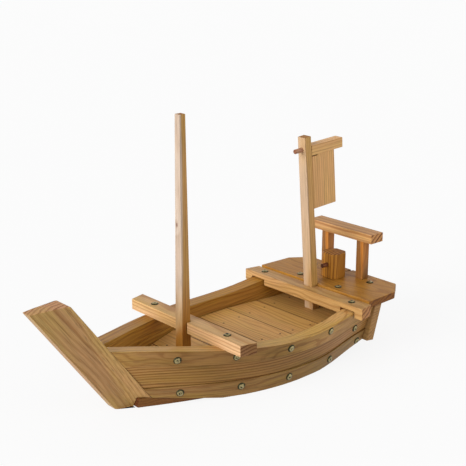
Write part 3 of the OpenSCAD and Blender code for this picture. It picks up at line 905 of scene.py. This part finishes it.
# A warmer, redder copy of the plank wood for the far planks, whose inner faces are in shade: it
# carries painted warm bounce light.
FAR_PLANK = Wood(
    early=(0.47, 0.235, 0.034), blush=(0.47, 0.225, 0.044), ring=4.2, contrast=0.9, sway=3.0,
    fibre=0.22, coat=0.06, painted_top_light=(0.92, 0.90, 0.90),
)
FLOOR = Wood(
    early=(0.645, 0.368, 0.104), blush=(0.655, 0.352, 0.11), ring=3.2, contrast=0.6, sway=3.0,
    fibre=0.15,
)
FOOT = Wood(
    early=(0.19, 0.08, 0.015), blush=(0.21, 0.082, 0.02), ring=4.0, contrast=0.7, coat=0.05,
)
STEM = Wood(
    early=(0.475, 0.292, 0.095), blush=(0.49, 0.272, 0.112), ring=5.0, contrast=0.8, sway=4.0,
    fibre=0.22, end=(1.38, 1.24, 1.60),
)
PLAIN = Wood(
    early=(0.56, 0.325, 0.115), blush=(0.59, 0.34, 0.14), contrast=0.65, end=(0.95, 0.76, 0.62),
    painted_top_light=(0.90, 0.90, 0.88),
)
EDGE = Wood(
    early=(0.47, 0.28, 0.10), blush=(0.47, 0.28, 0.114), contrast=0.35, end=(1.0, 0.92, 0.86),
    coat=0.08,
)
STRIPED = Wood(
    early=(0.65, 0.398, 0.162), blush=(0.69, 0.428, 0.222), late=(0.62, 0.46, 0.33), ring=3.9,
    contrast=0.95, sway=1.6, end=(0.41, 0.32, 0.23), painted_top_light=(0.90, 0.87, 0.72),
)
CANOPY = Wood(
    early=(0.57, 0.315, 0.112), blush=(0.59, 0.33, 0.14), late=(0.50, 0.34, 0.22), ring=5.6,
    contrast=1.0, sway=1.0, end=(1.15, 1.02, 0.92), painted_top_light=(0.90, 0.82, 0.70),
)
DECK = Wood(early=(0.40, 0.18, 0.021), blush=(0.415, 0.19, 0.03), ring=6.0, contrast=0.75, sway=8.0)
POST = Wood(
    early=(0.28, 0.123, 0.030), blush=(0.30, 0.134, 0.040), sap_and_highlight=(0.55, 0.215, 0.036),
    sap_and_highlight_from=63.0, contrast=0.75,
)
BITT = Wood(
    early=(0.50, 0.215, 0.028), late=(0.24, 0.16, 0.11), blush=(0.50, 0.22, 0.036), ring=4.0,
    contrast=0.95, sway=1.2, end=(1.10, 1.10, 1.9), coat=0.05,
)
# The mast's pale outer colour is a painted highlight on its bow face.
SPAR = Wood(
    early=(0.43, 0.19, 0.028), blush=(0.45, 0.195, 0.036), sap_and_highlight=(0.505, 0.318, 0.142),
    sap_and_highlight_from=65.6, ring=3.2, contrast=0.6, sway=1.6, end=(0.9, 0.8, 0.75),
    painted_light_along=(1.18, 1.48, 2.6), painted_light_along_from=(-155.0, 60.0, 130.0),
)
# The flag post's pale outer colour is a painted highlight on its bow face.
POLE = Wood(
    early=(0.60, 0.352, 0.104), blush=(0.60, 0.338, 0.114), sap_and_highlight=(0.56, 0.39, 0.25),
    sap_and_highlight_from=66.5, ring=3.6, contrast=0.6, sway=1.4,
)
FLAG = Wood(
    early=(0.76, 0.46, 0.162), blush=(0.755, 0.425, 0.172), ring=3.8, contrast=0.65, sway=1.0,
)
RED_PEG = Wood(
    early=(0.20, 0.065, 0.022), blush=(0.22, 0.075, 0.03), ring=1.6, contrast=0.5, coat=0.5,
)
PINK_PEG = Wood(early=(0.46, 0.23, 0.13), blush=(0.48, 0.25, 0.15), ring=1.6, contrast=0.5)


@dataclass
class HullLines:
    """Lines of the hull at ten even stations, which the planks' grain follows.

    Attributes:
        first, last: places of the end stations, in millimetres.
        depth, half_beam: height of the rail amidships, and half the width there.
        heights: height of the rail at each station, over the depth.
        rails, feet: half width at the rail and at the foot, over the half beam.
        rocker: height of the foot at each station, in millimetres.
        degree, unit: highest power of the polynomials, and length they go by.
    """

    first: float = -164.0
    last: float = 196.0
    depth: float = 54.6
    half_beam: float = 96.5
    heights: tuple[float, ...] = (
        1.421, 1.335, 1.24, 1.148, 1.07, 1.015, 1.0, 1.037, 1.137, 1.163,
    )
    rails: tuple[float, ...] = (
        0.207, 0.392, 0.589, 0.766, 0.898, 0.976, 1.0, 0.982, 0.947, 0.932,
    )
    feet: tuple[float, ...] = (
        0.062, 0.237, 0.458, 0.657, 0.807, 0.891, 0.911, 0.883, 0.828, 0.794,
    )
    rocker: tuple[float, ...] = (0.0, 0.0, 0.0, 0.0, 0.0, 0.0, 0.0, 2.3, 8.4, 15.8)
    degree: int = 4
    unit: float = 100.0

    def sweep(
        self, share: float, side: float, middle: Vector
    ) -> tuple[tuple[float, ...], tuple[float, ...]]:
        """Height and half width of a line along the side, as polynomials.

        The line lies at one share of the way from the foot to the rail. Both are
        fitted to the stations by least squares.

        Args:
            share: share of the way up the side.
            side: minus one for port, one for starboard.
            middle: the piece's middle, in millimetres.

        Returns:
            Factors of the height and of the place sideways, both from the middle,
            the highest power first.
        """
        along = (np.linspace(self.first, self.last, len(self.heights)) - middle.x) / self.unit
        foot = np.array(self.rocker)
        height = foot + share * (np.array(self.heights) * self.depth - foot)
        feet, rails = np.array(self.feet), np.array(self.rails)
        width = side * self.half_beam * (feet + share * (rails - feet))
        rise = np.polyfit(along, height - middle.z, self.degree)
        bulge = np.polyfit(along, width - middle.y, self.degree)
        return tuple(rise.tolist()), tuple(bulge.tolist())


@dataclass
class Hull:
    """Stem, bottom board, side planks, transom and floor.

    Attributes:
        lines: lines that the planks' grain follows.
        low, middle, high: heights of the planks' middles, as shares of the side.
        plank_round, stem_round, floor_round: widths of their rounded edges.
        floor_seeds, floor_tones: seed and brightness of each floor plank.
        floor_pith: distances of a floor plank's pith, each as a middle, a reach
            about it and a step of the wave from plank to plank.
        swirls: knots of the port rail.
    """

    lines: HullLines = field(default_factory=HullLines)
    low: float = 0.17
    middle: float = 0.52
    high: float = 0.86
    plank_round: float = 0.0008
    stem_round: float = 0.0010
    floor_round: float = 0.0004
    floor_seeds: tuple[float, ...] = (1.0, 2.4, 3.7, 5.1, 6.6, 8.2, 9.5)
    floor_tones: tuple[float, ...] = (0.80, 0.86, 1.08, 1.0, 1.04, 0.95, 0.86)
    floor_pith: tuple[Colour, Colour] = ((38.0, 9.0, 2.1), (56.0, 12.0, 1.7))
    swirls: Knots = (((-150.0, 0.0, -3.0), 2.6, 0.25), ((-118.0, 0.0, 2.0), 1.8, 0.0))

    def plank(
        self, node: str, wood: Wood, share: float, pith: tuple[float, float], seed: float,
        knots: Knots = (),
    ) -> None:
        """Dresses one side plank with grain that follows its sweep.

        The ends of the lower planks run out to slivers, on which a round that is
        measured across the faces would overshoot.

        Args:
            node: the node's name.
            wood: its finish.
            share: height of its middle as a share of the side.
            pith: distance of the pith line from that middle.
            seed: shifts the noise.
            knots: its knots.
        """
        low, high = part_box(node)
        side = -1.0 if node.startswith("port") else 1.0
        rise, bulge = self.lines.sweep(share, side, MILLIMETRES * (low + high) / 2)
        cut = Cut(Run.FORE_AND_AFT, (side * pith[0], pith[1]), seed, rise, bulge, knots)
        slivers = node.endswith("lower_strake")
        measure = Measure.ALONG_EDGES if slivers else Measure.ACROSS_FACES
        dress(node, wood, cut, self.plank_round, measure)

    def floor(self) -> None:
        """Dresses the floor planks, each with a tone of its own, and their bearers."""
        (side, side_reach, side_step), (deep, deep_reach, deep_step) = self.floor_pith
        for i, seed in enumerate(self.floor_seeds):
            pith = (
                side + side_reach * math.sin(side_step * i),
                deep + deep_reach * math.cos(deep_step * i),
            )
            node = f"floor_plank_{i + 1}"
            low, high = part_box(node)
            cut = Cut(Run.ACROSS, pith, seed, half=MILLIMETRES * (high.x - low.x) / 2)
            dress(node, FLOOR.toned(self.floor_tones[i]), cut, self.floor_round)
        for side in ("port", "starboard"):
            dress(f"floor_bearer_{side}", FOOT, Cut(Run.FORE_AND_AFT, (20.0, 30.0), 6.1))

    def dress(self) -> None:
        """Dresses every wooden piece of the hull."""
        dress("stem_post", STEM, Cut(Run.STEM, (70.0, 62.0), 1.3), self.stem_round)
        dress("bottom_board", FOOT, Cut(Run.FORE_AND_AFT, (12.0, 90.0), 2.9))
        self.plank("port_lower_strake", LOW_PLANK, self.low, (55.0, 26.0), 4.1)
        self.plank("port_middle_strake", TIGHT_PLANK, self.middle, (14.0, 120.0), 5.3)
        self.plank("port_upper_strake", RAIL_PLANK, self.high, (44.0, 6.0), 7.7, self.swirls)
        self.plank("starboard_lower_strake", FAR_PLANK, self.low, (55.0, 26.0), 15.1)
        self.plank("starboard_middle_strake", FAR_PLANK, self.middle, (14.0, 120.0), 16.3)
        self.plank("starboard_upper_strake", FAR_PLANK, self.high, (44.0, 30.0), 18.7)
        dress("transom", EDGE, Cut(Run.ACROSS, (30.0, 60.0), 3.3))
        self.floor()


@dataclass
class Upperworks:
    """Thwarts, stern deck, rail and bitt.

    Attributes:
        beam_round: width of the rounded edges of the thwarts and the rail.
        deck_round, bitt_round, peg_round: the same of the deck, the bitt and its peg.
    """

    beam_round: float = 0.0008
    deck_round: float = 0.0012
    bitt_round: float = 0.0009
    peg_round: float = 0.0005

    def dress(self) -> None:
        """Dresses every wooden piece above the rail."""
        dress("mast_thwart", STRIPED, Cut(Run.ACROSS, (22.0, 120.0), 2.2), self.beam_round)
        dress("stern_thwart", PLAIN, Cut(Run.ACROSS, (22.0, 34.0), 8.8), self.beam_round)
        dress("stern_deck", DECK, Cut(Run.ACROSS, (30.0, 55.0), 4.6), self.deck_round)
        dress("canopy_rail", CANOPY, Cut(Run.ACROSS, (62.0, 80.0), 9.9), self.beam_round)
        dress("canopy_post_port", POST, Cut(Run.UPRIGHT, (-60.0, 10.0), 1.9))
        dress("canopy_post_starboard", POST, Cut(Run.UPRIGHT, (-60.0, 12.0), 3.9))
        dress("bitt_block", BITT, Cut(Run.UPRIGHT, (98.9, 8.0), 5.9), self.bitt_round)
        dress("bitt_peg", RED_PEG, Cut(Run.FORE_AND_AFT, (5.0, 4.0), 1.1), self.peg_round)


@dataclass
class Rig:
    """Mast, flag post and flag.

    Attributes:
        knots: the mast's one knot.
        mast_bend: bend of the mast's grain, which ends the painted highlight on its
        bow face near the foot, where the mast is in shade.
        mast_round, post_round, bar_round, peg_round: widths of the rounded edges.
    """

    knots: Knots = (((27.5, 2.0, 5.5), 1.7, 0.85),)
    mast_bend: tuple[float, ...] = (-1.12, 1.87, -1.53, -0.07)
    mast_round: float = 0.0003
    post_round: float = 0.0004
    bar_round: float = 0.0007
    peg_round: float = 0.0005

    def dress(self) -> None:
        """Dresses the spars and the flag."""
        mast = Cut(Run.UPRIGHT, (8.0, 64.0), 6.3, self.mast_bend, knots=self.knots)
        dress("mast", SPAR, mast, self.mast_round)
        dress("flag_post", POLE, Cut(Run.FLAG_POST, (8.0, 63.0), 7.1), self.post_round)
        dress("flag_bar", FLAG, Cut(Run.FLAG_BAR, (26.0, 30.0), 2.7), self.bar_round)
        dress("flag_board", FLAG, Cut(Run.FLAG_POST, (12.0, 120.0), 8.1))
        dress("flag_peg", PINK_PEG, Cut(Run.FLAG_BAR, (4.0, 5.0), 3.1), self.peg_round)


@dataclass
class Fastenings:
    """Domed tacks and floor nails.

    Attributes:
        tacks, nails: their nodes.
        brass, steel: their finishes.
    """

    tacks: tuple[str, ...] = (
        "hull_tacks_port", "hull_tacks_starboard", "mast_thwart_tacks",
        "stern_thwart_tacks", "deck_tacks",
    )
    nails: str = "floor_nails"
    brass: Brass = Brass()
    # The nails' steel carries the same painted dark reflection and painted highlight ring.
    steel: Brass = Brass(bright=(0.20, 0.13, 0.08), dark=(0.05, 0.03, 0.02), roughness=0.5)

    def dress(self) -> None:
        """Gives the tacks their brass and the nails their dull steel."""
        brass = self.brass.make("brass_with_painted_reflections")
        steel = self.steel.make("dull_steel")
        for node in (*self.tacks, self.nails):
            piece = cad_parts[node]
            wear(piece, steel if node == self.nails else brass)
            SHAPING.polish(piece)
            LOG.info("dressed %s", node)


@dataclass
class Studio:
    """Floor, light and camera.

    Attributes:
        lens, sensor: the camera's focal length and sensor width, in millimetres.
        place, turn: its place, and its turn in degrees.
        floor_half, floor_drop: half width of the floor, and its depth below the boat.
        floor_colour, floor_roughness: its colour and roughness.
        floor_glow: share of white that the camera sees in it, over its shadows.
        fill: strength of the white light from all sides.
        key: strength, size in degrees and direction of the soft key light.
        side: the same of the weak one from the port quarter.
    """

    lens: float = 79.6
    sensor: float = 36.0
    place: Colour = (-0.7475, -0.8725, 0.5224)
    turn: Colour = (73.15, 0.0, -41.87)
    floor_half: float = 15.0
    floor_drop: float = 0.0003
    floor_colour: Colour = (0.80, 0.80, 0.80)
    floor_roughness: float = 0.9
    floor_glow: float = 0.88
    fill: float = 0.56
    key: tuple[float, float, Colour] = (2.9, 40.0, (-0.88, 0.10, 0.29))
    side: tuple[float, float, Colour] = (0.55, 60.0, (0.62, -0.74, 0.25))

    def camera(self) -> None:
        """Puts the camera where the photograph was taken from."""
        data = bpy.data.cameras.new("camera")
        data.lens = self.lens
        data.sensor_width = self.sensor
        view = bpy.data.objects.new("camera", data)
        view.location = self.place
        view.rotation_euler = tuple(math.radians(a) for a in self.turn)
        bpy.context.scene.collection.objects.link(view)
        bpy.context.scene.camera = view

    def floor(self) -> None:
        """Makes the plain floor, which the camera sees nearly white under soft shadow."""
        half = self.floor_half
        edge = [(-half, -half, 0.0), (half, -half, 0.0), (half, half, 0.0), (-half, half, 0.0)]
        mesh = bpy.data.meshes.new("floor")
        mesh.from_pydata(edge, [], [(0, 1, 2, 3)])
        plane = bpy.data.objects.new("floor", mesh)
        plane.location = (0.0, 0.0, -self.floor_drop)
        bpy.context.scene.collection.objects.link(plane)
        n = Nodes("floor")
        n.surface({"Base Color": self.floor_colour, "Roughness": self.floor_roughness})
        share = n.math("MULTIPLY", n.background(), self.floor_glow)
        glow = n.add("ShaderNodeEmission", WHITE, 1.0)
        mix = n.add("ShaderNodeMixShader", share, n.shader.outputs[0], glow.outputs[0])
        n.feed(n.output.inputs["Surface"], mix.outputs[0])
        mesh.materials.append(n.material)

    def lamps(self) -> None:
        """Puts up the soft key light from the bow and the weak side light."""
        for name, (energy, soft, way) in (("key", self.key), ("side", self.side)):
            sun = bpy.data.lights.new(name, "SUN")
            sun.energy = energy
            sun.angle = math.radians(soft)
            lamp = bpy.data.objects.new(name, sun)
            lamp.rotation_euler = Vector(way).to_track_quat("Z", "Y").to_euler()
            bpy.context.scene.collection.objects.link(lamp)

    def world(self) -> None:
        """Fills the world with white light, and shows it plain white behind the boat."""
        world = bpy.data.worlds.new("studio")
        world.use_nodes = True
        n = Writer(world.node_tree)
        n.tree.nodes.clear()
        light = n.add("ShaderNodeBackground", WHITE, self.fill).outputs[0]
        white = n.add("ShaderNodeBackground", WHITE, 1.0).outputs[0]
        mix = n.add("ShaderNodeMixShader", n.background(), light, white)
        n.add("ShaderNodeOutputWorld", mix.outputs[0])
        bpy.context.scene.world = world
        bpy.context.scene.view_settings.view_transform = "Standard"


def main() -> None:
    """Builds the scene in order."""
    logging.basicConfig(level=logging.INFO)
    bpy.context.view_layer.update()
    studio = Studio()
    studio.camera()
    Hull().dress()
    Upperworks().dress()
    Rig().dress()
    Fastenings().dress()
    studio.floor()
    studio.lamps()
    studio.world()


if __name__ == "__main__":
    main()
